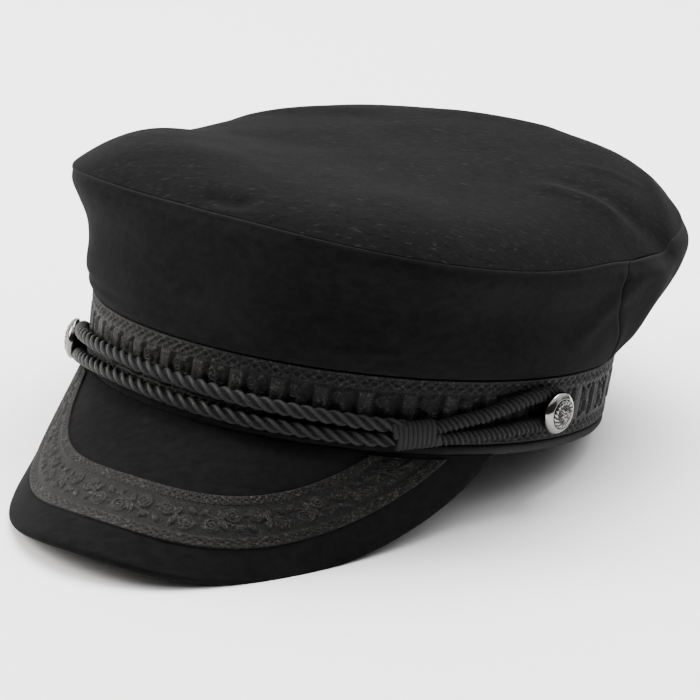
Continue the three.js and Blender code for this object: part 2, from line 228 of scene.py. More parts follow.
# Routes of the cords: angle from the front, height and distance from the braid's face
CORD_LONG = [
    (46.0, 9.6, 4.0), (43.2, 9.7, 3.8), (39, 9.6, 3.1), (34, 10.0, 2.8), (25, 10.5, 2.75),
    (15, 11.1, 2.75), (4, 11.9, 2.75), (-8, 12.5, 2.75), (-20, 12.7, 2.75), (-31, 12.2, 2.75),
    (-41, 10.9, 2.75), (-50, 9.1, 2.75), (-56, 8.0, 2.75), (-59, 6.7, 2.75), (-60, 3.4, 2.75),
    (-59, 0.3, 2.75), (-56, -0.9, 2.75), (-50, 0.4, 2.75), (-41, 3.0, 2.75), (-31, 4.8, 2.75),
    (-20, 5.7, 2.75), (-8, 5.5, 2.75), (4, 5.0, 2.75), (15, 4.5, 2.75), (25, 4.4, 2.75),
    (34, 4.2, 2.75), (39, 4.2, 2.75), (43.2, 4.6, 3.0), (46.0, 4.8, 3.6),
]
CORD_SHORT = [
    (51.5, 9.2, 3.8), (53.9, 10.2, 3.2), (58, 11.9, 2.8), (63, 14.0, 2.75), (68, 16.6, 2.8),
    (73, 19.1, 2.9), (77.5, 20.3, 3.0), (80.6, 20.0, 3.0), (82.9, 18.0, 3.0), (83.6, 14.8, 3.0),
    (82.8, 11.9, 3.0), (80.4, 10.3, 3.0), (77, 9.9, 2.9), (73, 9.4, 2.8), (68, 8.3, 2.75),
    (63, 7.3, 2.75), (58, 6.5, 2.75), (53.9, 5.9, 2.9), (51.5, 5.7, 3.4),
]

# How light a thread is painted: a core gets painted shade, as it lies in the shade,
# and the knot's coil gets a little painted shade
CORE_LIT = 0.0
COIL_LIT = 0.6

# Slide knot and buttons: where they sit, as angle from the front, height and, for the knot,
# distance from the braid's face, and then their sizes
KNOT_AT = (48.0, 7.2, 4.2)
KNOT_LONG = 16.4
KNOT_TALL = 4.7
KNOT_DEEP = 3.8
KNOT_RISE = math.radians(9)
KNOT_TURNS = 9
KNOT_SQUARE = 2.6
STEPS_A_WINDING = 30
BUTTON_LEFT = (79.6, 14.6)
BUTTON_RIGHT = (-57, 3.4)
BUTTON_RADIUS = 7.2
BUTTON_SHANK = 1.9
BUTTON_LEFT_STANDOFF = 5.5
BUTTON_RIGHT_STANDOFF = 4.5
# Painted shade on the far button, which reflects the dark room
BUTTON_RIGHT_PAINTED_SHADE = 0.09
BUTTON_EDGE = 1.2
BUTTON_DOME = 3.3
BUTTON_FACE_ROWS = 64


def mix(a, b, share):
    return a + (b - a) * share


def smooth(value, low, high):
    share = min(1, max(0, (value - low) / (high - low)))
    return share * share * (3 - 2 * share)


def ridge(distance, half):
    """A soft ridge, 1 along its middle."""
    return math.exp(-((distance / half) ** 2))


def line_of(form, distance):
    """A ridge or a groove that runs beside an edge."""
    height, place, half = form
    return height * ridge(distance - place, half)


def soft(point, scale, height):
    """Slow uneven rise and fall of soft cloth."""
    return height * noise.noise(Vector(point) / scale)


def curve_at(table, column, place):
    """A smooth curve through one column of a table whose first column is the place."""
    last = len(table) - 1
    i = 0
    while i < last - 1 and table[i + 1][0] < place:
        i += 1
    slopes = []
    for j in (i, i + 1):
        before, after = max(0, j - 1), min(last, j + 1)
        rise = table[after][column] - table[before][column]
        slopes.append(rise / (table[after][0] - table[before][0]))
    width = table[i + 1][0] - table[i][0]
    t = min(1, max(0, (place - table[i][0]) / width))
    a, b = table[i][column], table[i + 1][column]
    return (
        a * (2 * t**3 - 3 * t**2 + 1)
        + b * (3 * t**2 - 2 * t**3)
        + width * (slopes[0] * (t**3 - 2 * t**2 + t) + slopes[1] * (t**3 - t**2))
    )


def fold_sum(folds, x, y):
    """The height that a list of straight folds adds at one place."""
    total = 0.0
    for (x0, y0), (x1, y1), height, half in folds:
        dx, dy = x1 - x0, y1 - y0
        t = min(1, max(0, ((x - x0) * dx + (y - y0) * dy) / (dx * dx + dy * dy)))
        total += height * ridge(math.hypot(x - x0 - t * dx, y - y0 - t * dy), half)
    return total


def on_band(angle, height, out):
    """The oval of the band's face, moved outwards."""
    a = math.radians(angle)
    normal = Vector((math.sin(a) / BAND_WIDTH, -math.cos(a) / BAND_LENGTH, 0)).normalized()
    reach = out + BAND_FLARE * height / BAND_HEIGHT
    return Vector((BAND_WIDTH * math.sin(a), -BAND_LENGTH * math.cos(a), height)) + reach * normal


def on_top(angle, share):
    """The top panel's face, from 0 in the middle to 1 at the seam."""
    a = math.radians(angle)
    across = abs(math.sin(a)) / CROWN_WIDTH
    along = abs(math.cos(a)) / CROWN_LENGTH
    reach = share * (across**CROWN_SQUARE + along**CROWN_SQUARE) ** (-1 / CROWN_SQUARE)
    x = reach * math.sin(a)
    y = CROWN_BACK - reach * math.cos(a)
    plane = SEAM_HEIGHT - SEAM_BACK_RISE * share * math.cos(a)
    saddle = SEAM_END_RISE * share**2 * math.cos(2 * a)
    pillow = PILLOW * (1 - share**PILLOW_POWER)
    return Vector((x, y, plane + saddle + pillow + fold_sum(TOP_FOLDS, x, y)))


def on_side(angle, rise, out):
    """The side wall, from 0 at the band to 1 just under the top panel."""
    a = math.radians(angle)
    away = Vector((math.sin(a), -math.cos(a), 0))
    low = 1 / math.hypot(away.x / BAND_WIDTH, away.y / BAND_LENGTH) + BAND_FLARE
    seam = on_top(angle, 1)
    back = smooth(-math.cos(a), -0.55, 0.75)
    swell = mix(curve_at(WALL_SWELL, 1, rise), curve_at(WALL_SWELL, 2, rise), back) + out
    low_z = BAND_HEIGHT + STRIP_LIFT
    high_z = seam.z - SEAM_DROP
    return Vector((
        mix(low * away.x, seam.x, rise) + swell * away.x,
        mix(low * away.y, seam.y, rise) + swell * away.y,
        mix(low_z, high_z, rise),
    ))


def on_peak(x, down):
    """The peak's upper face: how far across, and how far down the slope from the band."""
    side = x / BAND_WIDTH
    slope = PEAK_SLOPE + PEAK_SIDE_SLOPE * side**2
    return Vector((
        x + PEAK_TAPER * side * down,
        -BAND_LENGTH * math.sqrt(1 - side**2) - down * math.cos(slope),
        PEAK_TOP - down * math.sin(slope),
    ))


def above_peak(x, down, lift):
    step = 0.05
    along_x = on_peak(x + step, down) - on_peak(x - step, down)
    along_down = on_peak(x, down + step) - on_peak(x, down - step)
    return on_peak(x, down) + along_down.cross(along_x).normalized() * lift


def peak_edge(edge, place):
    """A peak outline as across and down, read from -1 at one end to 1 at the other."""
    half, length, across, along, start = edge
    ends = math.asin((1 - (start / length) ** along) ** (1 / across))
    s = math.sin(place * ends)
    return Vector((half * s, length * (1 - abs(s) ** across) ** (1 / along)))


def grid_piece(name, place, across, around, size=(1, 1)):
    """A grid whose points are put in place by place(u, v). Edges that meet become one, nothing
    goes below the floor, and size is the cloth's own size in millimetres, kept in the UV map for
    its weave. A fourth number of a point is kept as its raised value, which the materials read:
    the height of a thread, which the braid turns into painted shade and painted highlights, a
    painted highlight along a welt, painted light from the floor on a rim, painted shade on a core
    or coil, and a button's patina in its low places with painted shade on the far button."""
    shape = bmesh.new()
    weave = shape.loops.layers.uv.new("weave")
    raised = shape.verts.layers.float.new("raised")
    bmesh.ops.create_grid(shape, x_segments=across, y_segments=around, size=0.5, calc_uvs=True)
    for vert in shape.verts:
        made = place(vert.co.x + 0.5, vert.co.y + 0.5)
        vert[raised] = made[3] if len(made) > 3 else 0
        spot = CAP @ (made.xyz * MM)
        spot.z = max(spot.z, 0)
        vert.co = spot
    for face in shape.faces:
        for loop in face.loops:
            loop[weave].uv = (loop[weave].uv.x * size[0], loop[weave].uv.y * size[1])
    bmesh.ops.remove_doubles(shape, verts=shape.verts, dist=WELD)
    return finish_piece(name, shape)


def finish_piece(name, shape):
    """Closes a piece's open ends, unless it gets a wall later, and turns its faces outwards."""
    open_edges = [edge for edge in shape.edges if edge.is_boundary]
    if open_edges and name not in THIN_PIECES:
        bmesh.ops.holes_fill(shape, edges=open_edges, sides=0)
    bmesh.ops.recalc_face_normals(shape, faces=shape.faces)
    if name in THIN_PIECES:
        middle = sum((vert.co for vert in shape.verts), Vector()) / len(shape.verts)
        if sum(face.normal.dot(face.calc_center_median() - middle) for face in shape.faces) < 0:
            bmesh.ops.reverse_faces(shape, faces=shape.faces)
    for face in shape.faces:
        face.smooth = True
    mesh = bpy.data.meshes.new(name)
    shape.to_mesh(mesh)
    shape.free()
    piece = bpy.data.objects.new(name, mesh)
    bpy.context.scene.collection.objects.link(piece)
    return piece


def wall(piece, thickness):
    solid = piece.modifiers.new("wall", "SOLIDIFY")
    solid.thickness = thickness * MM
    solid.offset = -1


def dress(piece, node, material):
    piece.data.materials.append(material)
    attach(piece, "root")
    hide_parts(node)


def crown_top():
    rolls = len(TOP_ROLL) - 1

    def place(u, v):
        angle = 360 * u
        if v <= TOP_SHARE:
            share = math.sin(0.5 * math.pi * v / TOP_SHARE) ** 0.9
            point = on_top(angle, share)
            for layer, scale, height in TOP_SOFT:
                point.z += soft((point.x, point.y, layer), scale, height) * (1 - share**6)
            return point
        step = (v - TOP_SHARE) / (1 - TOP_SHARE) * rolls
        i = min(rolls - 1, int(step))
        inward = mix(TOP_ROLL[i][0], TOP_ROLL[i + 1][0], step - i)
        down = mix(TOP_ROLL[i][1], TOP_ROLL[i + 1][1], step - i)
        a = math.radians(angle)
        return on_top(angle, 1) + Vector((-inward * math.sin(a), inward * math.cos(a), -down))

    piece = grid_piece("crown_top_wool", place, across=300, around=100, size=(600, 100))
    wall(piece, CLOTH)
    return piece


def crown_side(name, at_front):
    """A part of the side wall, drawn in along the band and at its seams, with a welt at the top and
    a painted highlight along it.
    """
    long = CROWN_ROUND * ((FRONT_PANEL_TURN if at_front else BACK_PANEL_TURN) / 360)

    def place(u, v):
        seam = mix(SIDE_SEAM_LOW, SIDE_SEAM_HIGH, v) - SIDE_SEAM_BEND * math.sin(math.pi * v * v)
        angle = mix(-seam, seam, u) if at_front else mix(seam, 360 - seam, u)
        to_seam = min(u, 1 - u) * long
        flat = on_side(angle, v, 0)
        top = on_side(angle, 1, 0).z
        above_band = flat.z - BAND_HEIGHT - STRIP_LIFT
        below_top = top - flat.z
        out = line_of(HEM_PINCH, above_band) + line_of(SEAM_PINCH, to_seam)
        out += line_of(TOP_WELT, below_top)
        turned = angle if angle <= 180 else angle - 360
        middle = smooth(above_band, 0, 6) * smooth(below_top, 0, 5)
        out += fold_sum(WALL_FOLDS, turned, flat.z) * smooth(above_band, 0, 3)
        out += middle * (soft(flat, *WALL_SOFT[0]) + soft(flat, *WALL_SOFT[1]))
        out += line_of(SEAM_ROLL, to_seam) * middle
        point = on_side(angle, v, out)
        point.z -= line_of(HEM_DROOP, above_band)
        # The raised value here is a painted highlight along the welt under the top seam
        return Vector((*point, line_of(TOP_WELT_PAINTED_HIGHLIGHT, below_top)))

    piece = grid_piece(name, place, across=300 if at_front else 220, around=90, size=(long, 45))
    wall(piece, CLOTH)
    return piece


def head_band():
    """The wool band, with the roll of its lower edge, as one closed section, and painted light from
    the floor on the sides of its rim.
    """
    face = -BRAID_THICK - STRIP_LIFT
    roll_steps = 12
    roll = []
    for i in range(roll_steps + 1):
        t = math.pi * i / roll_steps
        out = -RIM_RADIUS + RIM_RADIUS * math.sin(t) + RIM_OUT
        roll.append((RIM_RADIUS * (1 - math.cos(t)) - RIM_DROP, out))
    section = roll + [(2.9, face), (10, face), (BRAID_HIGH, face), (BRAID_HIGH, -BAND_WALL)]
    section += [(10, -BAND_WALL), (2.0, -BAND_WALL), (0.5, 0.5 - BAND_WALL), roll[0]]
    steps = len(section) - 1

    def place(u, v):
        step = v * steps
        i = min(steps - 1, int(step + 1e-6))
        height = mix(section[i][0], section[i + 1][0], step - i)
        out = mix(section[i][1], section[i + 1][1], step - i)
        around = on_band(360 * u, height, 0)
        point = on_band(360 * u, height, out + soft(around, *RIM_SOFT))
        # Painted light from the floor on the rim below the braid, at the sides only, as its front
        # lies in shade
        beside = smooth(-math.cos(math.radians(360 * u)), -0.7, -0.25)
        return Vector((*point, RIM_PAINTED_LIGHT * beside * smooth(BRAID_LOW - height, 0.2, 1.2)))

    return grid_piece("head_band_wool", place, across=400, around=steps, size=(BAND_ROUND, 60))


def spiral(x, y, turns, pitch, hand):
    """Height of a raised spiral round the origin."""
    distance = math.hypot(x, y)
    if distance > (turns + 0.6) * pitch:
        return 0
    turn = hand * math.atan2(y, x) / (2 * math.pi)
    offset = (distance / pitch - turn) % 1
    end = smooth((turns + 0.5) * pitch - distance, 0, 0.5)
    return end * ridge(min(offset, 1 - offset) * pitch, 0.34 * pitch)


def leaf(x, y, length, width, turned):
    """Height of a raised leaf that starts at the origin, with a groove along its middle."""
    c, s = math.cos(turned), math.sin(turned)
    along, side = (c * x + s * y) / length, (-s * x + c * y) / width
    if not 0 < along < 1:
        return 0
    edge = math.sin(math.pi * along**0.8)
    body = smooth(edge - abs(side), 0, 0.35)
    return body * (1 - 0.55 * ridge(side, 0.16))


def cording(along, across, half, pitch):
    """A thin twisted border cord that runs along the braid."""
    turn = 2 * math.pi * (along + 1.2 * across) / pitch
    return ridge(across, half) * (0.75 + 0.25 * math.cos(turn))


def chain(along, across, pitch, tall):
    """Two fine strands that cross and part along a border."""
    swing = tall * math.sin(2 * math.pi * along / pitch)
    return max(ridge(across - swing, 0.42), ridge(across + swing, 0.42))


def marks(shape, table, x, y):
    """The heights of a table's scrolls or leaves at one place."""
    return [shape(x - along, y - across, *form) for along, across, *form in table]


def band_relief(s, t):
    """The band braid's height in millimetres: s along it and t up from its lower edge."""
    tall = BRAID_HIGH - BRAID_LOW
    repeat = BAND_ROUND / BAND_REPEATS
    link, twist = repeat / 2, repeat / 9
    height = 0.75 * cording(s, t - 0.7, 0.5, twist)
    height += 0.75 * cording(s, t - (tall - 0.7), 0.5, twist)
    height += 0.6 * chain(s, t - (tall - 2.7), link, 1.1) + 0.6 * chain(s, t - 2.7, link, 1.1)
    height += 0.5 * cording(s, t - 4.6, 0.4, twist) + 0.5 * cording(s, t - (tall - 4.6), 0.4, twist)
    field = smooth(t, 5.0, 5.9) * smooth(tall - t, 5.0, 5.9)
    x = (s + 1.5) % repeat - 1.5
    y = t - tall / 2
    tab = smooth(x, 0.5, 1.2) * smooth(6.4 - x, 0.5, 1.2)
    ribs = 0.62 + 0.1 * math.cos(2 * math.pi * x / 0.95)
    scrolls = sum(marks(spiral, BAND_SCROLLS, x, y))
    leaves = sum(marks(leaf, BAND_LEAVES, x, y))
    height += field * max(tab * ribs, 0.72 * min(1, scrolls), 0.66 * min(1, leaves))
    bow = 0.5 * math.cos(math.pi * y / tall)
    return height - 0.42 * field * (ridge(x - 0.2 + bow, 0.42) + ridge(x - 6.6 - bow, 0.45))


def peak_relief(s, t, wide):
    """The peak braid's height: s along it and t across it, out of its width."""
    height = 0.6 * cording(s, t - 0.6, 0.45, 1.5) + 0.6 * cording(s, t - (wide - 0.6), 0.45, 1.5)
    for edge in (t, wide - t):
        height += 0.45 * chain(s, edge - 2.2, 6.0, 0.8)
        height += 0.45 * cording(s, edge - 3.7, 0.35, 1.3)
    field = smooth(t, 4.0, 4.7) * smooth(wide - t, 4.0, 4.7)
    x = (s % PEAK_REPEAT) - PEAK_REPEAT / 2
    y = t - wide / 2
    side = 1 if int(s // PEAK_REPEAT) % 2 == 0 else -1
    y *= side
    stem = ridge(y - 2.4 * math.sin(math.pi * x / PEAK_REPEAT) * side, 0.5)
    motif = max(*marks(spiral, PEAK_SCROLLS, x, y), *marks(leaf, PEAK_LEAVES, x, y), 0.8 * stem)
    return height + 0.55 * field * motif


def closed_section(face_steps, low, high, face, back):
    """Steps round a braid's section: up its face and down its back, as place and depth."""
    rows = [(mix(low, high, i / face_steps), face) for i in range(face_steps + 1)]
    return rows + [(high, back), (mix(low, high, 0.5), back), (low, back), (low, face)]


def band_braid():
    face_steps = 52
    rows = closed_section(face_steps, BRAID_LOW, BRAID_HIGH, 0, -BRAID_THICK)
    steps = len(rows) - 1

    def place(u, v):
        height, out = rows[round(v * steps)]
        relief = 0
        if out == 0:
            s, t = u % 1 * BAND_ROUND, height - BRAID_LOW
            edge = smooth(t, -0.1, 0.5) * smooth(BRAID_HIGH - height, -0.1, 0.5)
            relief = edge * band_relief(s, t)
            out = BAND_GROUND + BAND_RELIEF * relief
        # The relief is kept as the raised value, which the braid's colour turns into painted shade
        # and highlights
        return Vector((*on_band(360 * u, height, out), relief))

    size = (BAND_ROUND, (BRAID_HIGH - BRAID_LOW) * steps / face_steps)
    return grid_piece("band_braid_woven", place, across=1180, around=steps, size=size)


def peak_point(place, row, lift):
    """A point of the peak, whose edge is rolled square to its outline."""
    step = 0.004
    edge = peak_edge(PEAK_EDGE, place)
    ahead = peak_edge(PEAK_EDGE, min(1, place + step))
    behind = peak_edge(PEAK_EDGE, max(-1, place - step))
    run = ahead - behind
    normal = Vector((-run.y, run.x)).normalized()
    radius = PEAK_THICK / 2
    edge -= normal * radius
    if row <= 1:
        spot = Vector((peak_edge(PEAK_EDGE, place).x, 0)).lerp(edge, row)
    else:
        turn = (row - 1) * math.pi
        spot = edge + normal * radius * math.sin(turn)
        lift = radius * (math.cos(turn) - 1)
    return above_peak(spot.x, max(spot.y, -1), lift)


def peak_board():
    top = [i / PEAK_ROWS for i in range(PEAK_ROWS + 1)]
    around = [1 + i / PEAK_EDGE_ROWS for i in range(1, PEAK_EDGE_ROWS + 1)]
    rows = [(-1, 0)] + [(row, 0) for row in top] + [(row, 0) for row in around]
    rows += [(row, -PEAK_THICK) for row in reversed(top[:-1])] + [(-1, -PEAK_THICK), (-1, 0)]
    steps = len(rows) - 1

    def place(u, v):
        row, lift = rows[round(v * steps)]
        side = 2 * u - 1
        if row < 0:
            inner = peak_point(side, 0, 0)
            inward = -Vector((inner.x / BAND_WIDTH**2, inner.y / BAND_LENGTH**2, 0)).normalized()
            return inner + PEAK_TUCK * inward + Vector((0, 0, lift - 0.1))
        point = peak_point(side, row, lift)
        if lift == 0 and row <= 1:
            point.z += soft((point.x, point.y, 5), *PEAK_SOFT)
        if lift < 0:
            point.z = min(point.z, PEAK_TOP - 0.2)
        return point

    return grid_piece("peak_wool", place, across=260, around=steps, size=(250, 150))


def strip_middle():
    """How far along the strip's middle each of its steps lies."""
    steps = 400
    lengths = [0.0]
    before = None
    for i in range(steps + 1):
        place = i / (steps / 2) - 1
        spot = peak_edge(STRIP_INNER, place).lerp(peak_edge(STRIP_OUTER, place), 0.5)
        point = on_peak(spot.x, spot.y)
        if before:
            lengths.append(lengths[-1] + (point - before).length)
        before = point
    return lengths


def length_at(lengths, u):
    last = len(lengths) - 1
    i = min(last - 1, int(u * last))
    return mix(lengths[i], lengths[i + 1], u * last - i)


def peak_braid():
    lengths = strip_middle()
    face_steps = 48
    rows = closed_section(face_steps, 0, 1, STRIP_LIFT + STRIP_THICK, STRIP_SUNK)
    steps = len(rows) - 1

    def place(u, v):
        share, lift = rows[round(v * steps)]
        relief = 0
        near, far = peak_edge(STRIP_INNER, 2 * u - 1), peak_edge(STRIP_OUTER, 2 * u - 1)
        spot = near.lerp(far, share)
        if lift > STRIP_LIFT:
            t = share * STRIP_WIDE
            edge = smooth(t, -0.1, 0.6) * smooth(STRIP_WIDE - t, -0.1, 0.6)
            relief = edge * peak_relief(length_at(lengths, u), t, STRIP_WIDE)
            lift = STRIP_LIFT + PEAK_GROUND + PEAK_RELIEF * relief
        # The relief is kept as the raised value, which the braid's colour turns into painted shade
        # and highlights
        return Vector((*above_peak(spot.x, spot.y, lift), relief))

    size = (STRIP_LONG, STRIP_WIDE * steps / face_steps)
    return grid_piece("peak_braid_woven", place, across=560, around=steps, size=size)


def smooth_path(points, step):
    """A smooth line through points, cut into equal steps, with the distance along it."""
    cuts = 24
    dense = []
    for i in range(len(points) - 1):
        before = points[max(0, i - 1)]
        after = points[min(len(points) - 1, i + 2)]
        a, b = points[i], points[i + 1]
        for j in range(cuts):
            t = j / cuts
            dense.append(0.5 * (
                2 * a + (b - before) * t + (2 * before - 5 * a + 4 * b - after) * t**2
                + (3 * a - before - 3 * b + after) * t**3
            ))
    dense.append(points[-1])
    total = sum((q - p).length for p, q in zip(dense, dense[1:]))
    count = max(8, round(total / step))
    path, walked, i = [], 0.0, 0
    for k in range(count + 1):
        wanted = total * k / count
        while i < len(dense) - 2 and walked + (dense[i + 1] - dense[i]).length < wanted:
            walked += (dense[i + 1] - dense[i]).length
            i += 1
        share = (wanted - walked) / (dense[i + 1] - dense[i]).length
        path.append(dense[i].lerp(dense[i + 1], min(1, share)))
    return path, total


def frames_along(path, start):
    """A side direction for each point of a path, carried along it without twist."""
    side = Vector(start)
    sides, runs = [], []
    for i, point in enumerate(path):
        run = (path[min(len(path) - 1, i + 1)] - path[max(0, i - 1)]).normalized()
        side = (side - run * side.dot(run)).normalized()
        sides.append(side.copy())
        runs.append(run)
    return sides, runs


def tube(name, centres, radius, sides, first_side, lit=1.0):
    """A closed tube round a line of centres, with its length in millimetres in the UV map. Its
    raised value is how light its thread is painted, from 0, painted shade for a core in the
    shade, to 1 for a lit strand."""
    sides_at, runs = frames_along(centres, first_side)
    last = len(centres) - 1
    long = sum((q - p).length for p, q in zip(centres, centres[1:]))

    def place(u, v):
        i = round(v * last)
        turn = 2 * math.pi * u
        other = runs[i].cross(sides_at[i])
        closing = 1 - 0.4 * (i in (0, last))
        out = math.cos(turn) * sides_at[i] + math.sin(turn) * other
        return Vector((*(centres[i] + closing * radius * out), lit))

    return grid_piece(name, place, across=sides, around=last, size=(1, long))


def join(name, parts):
    """Parts become one piece."""
    shape = bmesh.new()
    for part in parts:
        shape.from_mesh(part.data)
        bpy.data.objects.remove(part)
    return finish_piece(name, shape)


def twisted_cord(name, route, lay, strand_radius):
    """Three strands laid round a core with painted shade, so that dark gaps show between them."""
    points = [on_band(*spot) for spot in route]
    path, total = smooth_path(points, lay / STEPS_A_LAY)
    sides, runs = frames_along(path, (0, 0, 1))
    offset = CORD_RADIUS - strand_radius
    core_radius = CORD_RADIUS - CORE_INSET * strand_radius
    strands = [tube(f"{name}_core", path, core_radius, CORE_SIDES, sides[0], CORE_LIT)]
    for strand in range(3):
        centres = []
        for i, point in enumerate(path):
            turn = 2 * math.pi * (total * i / (len(path) - 1) / lay + strand / 3)
            other = runs[i].cross(sides[i])
            centres.append(point + offset * (math.cos(turn) * sides[i] + math.sin(turn) * other))
        strands.append(tube(f"{name}_strand", centres, strand_radius, STRAND_SIDES, sides[0]))
    return join(name, strands)


def slide_knot():
    """Thin cord wound in close turns over a core that holds both strands."""
    middle = on_band(*KNOT_AT)
    out = (on_band(KNOT_AT[0], KNOT_AT[1], KNOT_AT[2] + 1) - middle).normalized()
    level = Vector((0, 0, 1)).cross(out).normalized()
    along = Matrix.Rotation(KNOT_RISE, 3, out) @ level
    up = out.cross(along).normalized()
    wire = KNOT_LONG / KNOT_TURNS / 2

    def winding(turns, inset):
        spread = (turns / KNOT_TURNS - 0.5) * (KNOT_LONG - 2 * wire)
        angle = 2 * math.pi * turns
        tall, deep = KNOT_TALL - inset, KNOT_DEEP - inset
        s, c = math.sin(angle), math.cos(angle)
        square = (abs(s) ** KNOT_SQUARE + abs(c) ** KNOT_SQUARE) ** (-1 / KNOT_SQUARE)
        return middle + along * spread + square * (up * tall * s + out * deep * c)

    windings = KNOT_TURNS * STEPS_A_WINDING
    centres = [winding(i / STEPS_A_WINDING, wire * 1.02) for i in range(windings + 1)]
    coil = tube("knot_coil", centres, wire * 1.04, 10, along, COIL_LIT)
    core_line = [middle + along * KNOT_LONG * (i / 12 - 0.5) * 0.8 for i in range(13)]
    core = tube("knot_core", core_line, KNOT_DEEP - 1.5 * wire, 20, out, CORE_LIT)
    return join("slide_knot_wound", [coil, core])


def button_height(radius, angle):
    """Relief inside the smooth edge: a wreath of leaves, a pebbled ground and a rosette."""
    share = radius / BUTTON_RADIUS
    inside = smooth(0.74 - share, 0, 0.03)
    wreath = 0.5 * ridge(share - 0.58, 0.11)
    wreath *= smooth(abs(math.sin(8 * angle + 13 * share)), 0.3, 0.7)
    x, y = radius * math.cos(angle), radius * math.sin(angle)
    pebbles = 0.15 * (1 + math.cos(7 * x) * math.cos(7 * y)) * smooth(0.7 - share, 0, 0.05)
    petals = 0.5 * smooth(0.30 + 0.16 * math.cos(5 * angle) - share, 0, 0.06)
    petals *= smooth(share, 0.1, 0.16)
    veins = 1 - 0.7 * ridge(math.sin(2.5 * angle), 0.3)
    boss = 0.5 * ridge(radius, 0.09 * BUTTON_RADIUS)
    return inside * (max(wreath, pebbles, petals * veins, boss) - 0.35)


def button(name, at, standoff, painted_shade):
    foot = on_band(at[0], at[1], 0)
    axis = (on_band(at[0], at[1], 1) - foot).normalized()
    side = Vector((0, 0, 1)).cross(axis).normalized()
    up = axis.cross(side)
    faces = BUTTON_FACE_ROWS
    post_end = STRIP_LIFT - standoff
    back = [(BUTTON_RADIUS, BUTTON_EDGE), (BUTTON_RADIUS, 0.5), (BUTTON_RADIUS - 0.65, 0)]
    back += [(4.5, 0.3), (BUTTON_SHANK, 0.3), (BUTTON_SHANK, post_end), (0, post_end)]
    steps = faces + len(back)

    def place(u, v):
        i = round(v * steps)
        angle = 2 * math.pi * u
        if i <= faces:
            lift = 0.5 * math.pi * (1 - i / faces)
            radius = BUTTON_RADIUS * math.cos(lift)
            relief = button_height(radius, angle)
            height = BUTTON_EDGE + BUTTON_DOME * math.sin(lift) + relief
        else:
            radius, height = back[i - faces - 1]
            relief = -0.3 if radius < BUTTON_RADIUS else 0
        spot = foot + axis * (standoff + height)
        spot += radius * (math.cos(angle) * side + math.sin(angle) * up)
        # Fourth value: painted shade over the whole of the far button, and darker in the low places
        # of its face, as patina, and on its back and shank
        return Vector((*spot, painted_shade - relief))

    return grid_piece(name, place, across=224, around=steps)


class Finish:
    """A material's nodes, made one by one and linked by the names or numbers of sockets."""

    def __init__(self, name):
        self.material = bpy.data.materials.new(name)
        self.material.use_nodes = True
        self.tree = self.material.node_tree
        self.shader = self.tree.nodes["Principled BSDF"]
        self.coords = self.add("ShaderNodeTexCoord")

    def add(self, kind, inputs=None, **settings):
        node = self.tree.nodes.new(kind)
        for key, value in settings.items():
            setattr(node, key, value)
        for key, value in (inputs or {}).items():
            self.feed(node.inputs[key], value)
        return node

    def feed(self, socket, value):
        if isinstance(value, bpy.types.NodeSocket):
            self.tree.links.new(value, socket)
        else:
            socket.default_value = value

    def set(self, **values):
        for key, value in values.items():
            self.feed(self.shader.inputs[key.replace("_", " ")], value)

    def noise(self, scale, detail=3.0, stretch=None, distortion=0.0):
        place = self.coords.outputs["Object"]
        if stretch:
            place = self.add("ShaderNodeMapping", {
                "Vector": place, "Scale": (stretch, 1, 1), "Rotation": (0, 0, FIBRE_TURN),
            }, vector_type="TEXTURE").outputs["Vector"]
        made = self.add("ShaderNodeTexNoise", {
            "Vector": place, "Scale": scale, "Detail": detail, "Roughness": 0.6,
            "Distortion": distortion,
        })
        return made.outputs["Fac"]

    def ramp(self, value, stops):
        made = self.add("ShaderNodeValToRGB", {"Fac": value})
        ramp = made.color_ramp
        while len(ramp.elements) < len(stops):
            ramp.elements.new(0.5)
        for element, (position, colour) in zip(ramp.elements, stops):
            element.position = position
            element.color = (*colour, 1)
        return made.outputs["Color"]

    def sum(self, first, second, kind="ADD"):
        return self.add("ShaderNodeMath", {0: first, 1: second}, operation=kind).outputs[0]

    def blend(self, share, first, second):
        inputs = {"Factor": share, 6: first, 7: (*second, 1)}
        return self.add("ShaderNodeMix", inputs, data_type="RGBA").outputs[2]

    def bump(self, height, strength, distance, below=None):
        inputs = {"Height": height, "Strength": strength, "Distance": distance}
        if below:
            inputs["Normal"] = below
        return self.add("ShaderNodeBump", inputs).outputs["Normal"]


def grey(value, warm=0.0):
    """A grey, made a little warmer by a share."""
    return (value * (1 + warm), value, value * (1 - warm))


